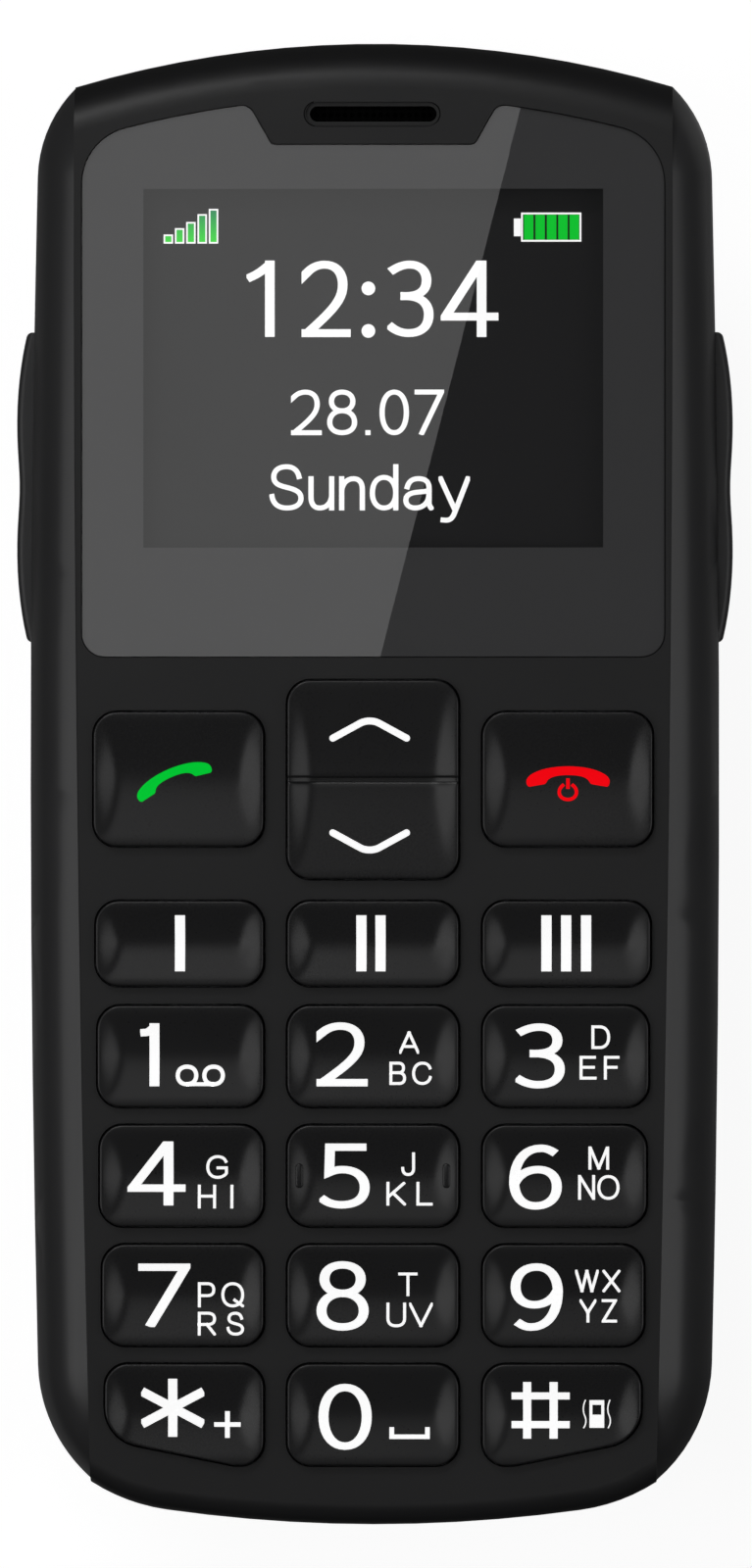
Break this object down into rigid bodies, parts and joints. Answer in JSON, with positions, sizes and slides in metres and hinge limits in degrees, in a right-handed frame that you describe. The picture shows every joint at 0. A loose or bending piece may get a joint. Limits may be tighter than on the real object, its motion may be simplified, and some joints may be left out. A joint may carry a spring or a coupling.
{
  "type": "feature phone",
  "caption": "Big-button bar phone with a dished keypad, notched display window, side rocker keys, removable back cover and battery.",
  "frame": {"origin": "on the surface the phone lies on, under the middle of its box", "axes": "+Z out of the front face, +Y towards the earpiece, +X to the right seen from the front"},
  "size_m": [0.0554, 0.1145, 0.014],
  "materials": {
    "front_shell": "fine moulded black",
    "side_rail": "satin black",
    "key_cap": "satin black",
    "side_key": "satin black",
    "lens": "clear gloss",
    "lens_print": "printed dark grey",
    "fine_mesh": "blackened",
    "acoustic": "black",
    "display_tray": "satin",
    "display_glass": "polished",
    "foam": "matt",
    "board": "solder mask",
    "dome": "satin",
    "silicone": "matt",
    "switch": "matt",
    "can": "satin",
    "rear_shell": "fine moulded black",
    "cover": "fine moulded black",
    "battery_wrap": "wrapped",
    "contact": "gold plated",
    "holder": "satin",
    "emergency": "satin red",
    "port_steel": "satin",
    "jack": "matt",
    "torch_clear": "clear gloss",
    "torch_white": "matt",
    "capsule": "satin",
    "motor_steel": "satin",
    "weight": "sintered",
    "boot": "matt",
    "antenna": "matt",
    "screw": "zinc plated"
  },
  "bodies": {
    "handset": {"front_housing": "front_shell", "left_rail": "side_rail", "right_rail": "side_rail", "display_lens": "lens", "lens_mask": "lens_print", "earpiece_mesh": "fine_mesh", "speaker_mesh": "fine_mesh", "earpiece_receiver": "acoustic", "loudspeaker": "acoustic", "display_module": "display_tray", "display_panel": "display_glass", "display_gasket": "foam", "main_board": "board", "dome_switches": "dome", "keypad_membrane": "silicone", "side_switches": "switch", "shield_can": "can", "rear_housing": "rear_shell", "battery_contacts": "contact", "card_holders": "holder", "memory_card_slot": "holder", "usb_port": "port_steel", "audio_jack": "jack", "torch_lens": "torch_clear", "torch_lamp": "torch_white", "microphone": "capsule", "vibration_motor": "motor_steel", "motor_boot": "boot", "antenna_carrier": "antenna", "housing_screws": "screw"},
    "call_key": {"call_key": "key_cap"},
    "end_key": {"end_key": "key_cap"},
    "quick_key_1": {"quick_key_1": "key_cap"},
    "quick_key_2": {"quick_key_2": "key_cap"},
    "quick_key_3": {"quick_key_3": "key_cap"},
    "key_1": {"key_1": "key_cap"},
    "key_2": {"key_2": "key_cap"},
    "key_3": {"key_3": "key_cap"},
    "key_4": {"key_4": "key_cap"},
    "key_5": {"key_5": "key_cap"},
    "key_6": {"key_6": "key_cap"},
    "key_7": {"key_7": "key_cap"},
    "key_8": {"key_8": "key_cap"},
    "key_9": {"key_9": "key_cap"},
    "key_0": {"key_0": "key_cap"},
    "star_key": {"star_key": "key_cap"},
    "hash_key": {"hash_key": "key_cap"},
    "navigation_rocker": {"navigation_rocker": "key_cap"},
    "left_side_key": {"left_side_key": "side_key"},
    "right_side_key": {"right_side_key": "side_key"},
    "emergency_key": {"emergency_key": "emergency"},
    "battery_cover": {"battery_cover": "cover"},
    "battery": {"battery": "battery_wrap"},
    "motor_rotor": {"motor_shaft": "motor_steel", "vibration_weight": "weight"}
  },
  "joints": [
    {"name": "call_key_press", "type": "slide", "parent": "handset", "child": "call_key", "axis": [0, 0, -1], "range_m": [0, 0.0004], "stiffness_N_per_m": 600, "deforming": ["keypad_membrane"]},
    {"name": "end_key_press", "type": "slide", "parent": "handset", "child": "end_key", "axis": [0, 0, -1], "range_m": [0, 0.0004], "stiffness_N_per_m": 600},
    {"name": "quick_key_1_press", "type": "slide", "parent": "handset", "child": "quick_key_1", "axis": [0, 0, -1], "range_m": [0, 0.0004], "stiffness_N_per_m": 600},
    {"name": "quick_key_2_press", "type": "slide", "parent": "handset", "child": "quick_key_2", "axis": [0, 0, -1], "range_m": [0, 0.0004], "stiffness_N_per_m": 600},
    {"name": "quick_key_3_press", "type": "slide", "parent": "handset", "child": "quick_key_3", "axis": [0, 0, -1], "range_m": [0, 0.0004], "stiffness_N_per_m": 600},
    {"name": "key_1_press", "type": "slide", "parent": "handset", "child": "key_1", "axis": [0, 0, -1], "range_m": [0, 0.0004], "stiffness_N_per_m": 600},
    {"name": "key_2_press", "type": "slide", "parent": "handset", "child": "key_2", "axis": [0, 0, -1], "range_m": [0, 0.0004], "stiffness_N_per_m": 600},
    {"name": "key_3_press", "type": "slide", "parent": "handset", "child": "key_3", "axis": [0, 0, -1], "range_m": [0, 0.0004], "stiffness_N_per_m": 600},
    {"name": "key_4_press", "type": "slide", "parent": "handset", "child": "key_4", "axis": [0, 0, -1], "range_m": [0, 0.0004], "stiffness_N_per_m": 600},
    {"name": "key_5_press", "type": "slide", "parent": "handset", "child": "key_5", "axis": [0, 0, -1], "range_m": [0, 0.0004], "stiffness_N_per_m": 600},
    {"name": "key_6_press", "type": "slide", "parent": "handset", "child": "key_6", "axis": [0, 0, -1], "range_m": [0, 0.0004], "stiffness_N_per_m": 600},
    {"name": "key_7_press", "type": "slide", "parent": "handset", "child": "key_7", "axis": [0, 0, -1], "range_m": [0, 0.0004], "stiffness_N_per_m": 600},
    {"name": "key_8_press", "type": "slide", "parent": "handset", "child": "key_8", "axis": [0, 0, -1], "range_m": [0, 0.0004], "stiffness_N_per_m": 600},
    {"name": "key_9_press", "type": "slide", "parent": "handset", "child": "key_9", "axis": [0, 0, -1], "range_m": [0, 0.0004], "stiffness_N_per_m": 600},
    {"name": "key_0_press", "type": "slide", "parent": "handset", "child": "key_0", "axis": [0, 0, -1], "range_m": [0, 0.0004], "stiffness_N_per_m": 600},
    {"name": "star_key_press", "type": "slide", "parent": "handset", "child": "star_key", "axis": [0, 0, -1], "range_m": [0, 0.0004], "stiffness_N_per_m": 600},
    {"name": "hash_key_press", "type": "slide", "parent": "handset", "child": "hash_key", "axis": [0, 0, -1], "range_m": [0, 0.0004], "stiffness_N_per_m": 600},
    {"name": "navigation_rock", "type": "hinge", "parent": "handset", "child": "navigation_rocker", "pos_m": [0, 0.0003, 0.0122], "axis": [1, 0, 0], "range_deg": [-2.5, 2.5], "stiffness_Nm_per_rad": 0.2},
    {"name": "left_side_rock", "type": "hinge", "parent": "handset", "child": "left_side_key", "pos_m": [-0.02589, 0.02295, 0.00695], "axis": [0, 0, 1], "range_deg": [-1.5, 1.5], "stiffness_Nm_per_rad": 0.4},
    {"name": "right_side_rock", "type": "hinge", "parent": "handset", "child": "right_side_key", "pos_m": [0.02589, 0.02295, 0.00695], "axis": [0, 0, 1], "range_deg": [-1.5, 1.5], "stiffness_Nm_per_rad": 0.4},
    {"name": "emergency_press", "type": "slide", "parent": "handset", "child": "emergency_key", "axis": [0, 0, 1], "range_m": [0, 0.00035], "stiffness_N_per_m": 600},
    {"name": "cover_off", "type": "slide", "parent": "handset", "child": "battery_cover", "axis": [0, 0, -1], "range_m": [0, 0.02]},
    {"name": "battery_out", "type": "slide", "parent": "handset", "child": "battery", "axis": [0, 0, -1], "range_m": [0, 0.01]},
    {"name": "motor_spin", "type": "hinge", "parent": "handset", "child": "motor_rotor", "pos_m": [-0.0155, 0.024, 0.0049], "axis": [0, 1, 0], "continuous": true}
  ],
  "couplings": [
    {"joint": "battery_out", "follows": "cover_off", "ratio": 0.5}
  ]
}
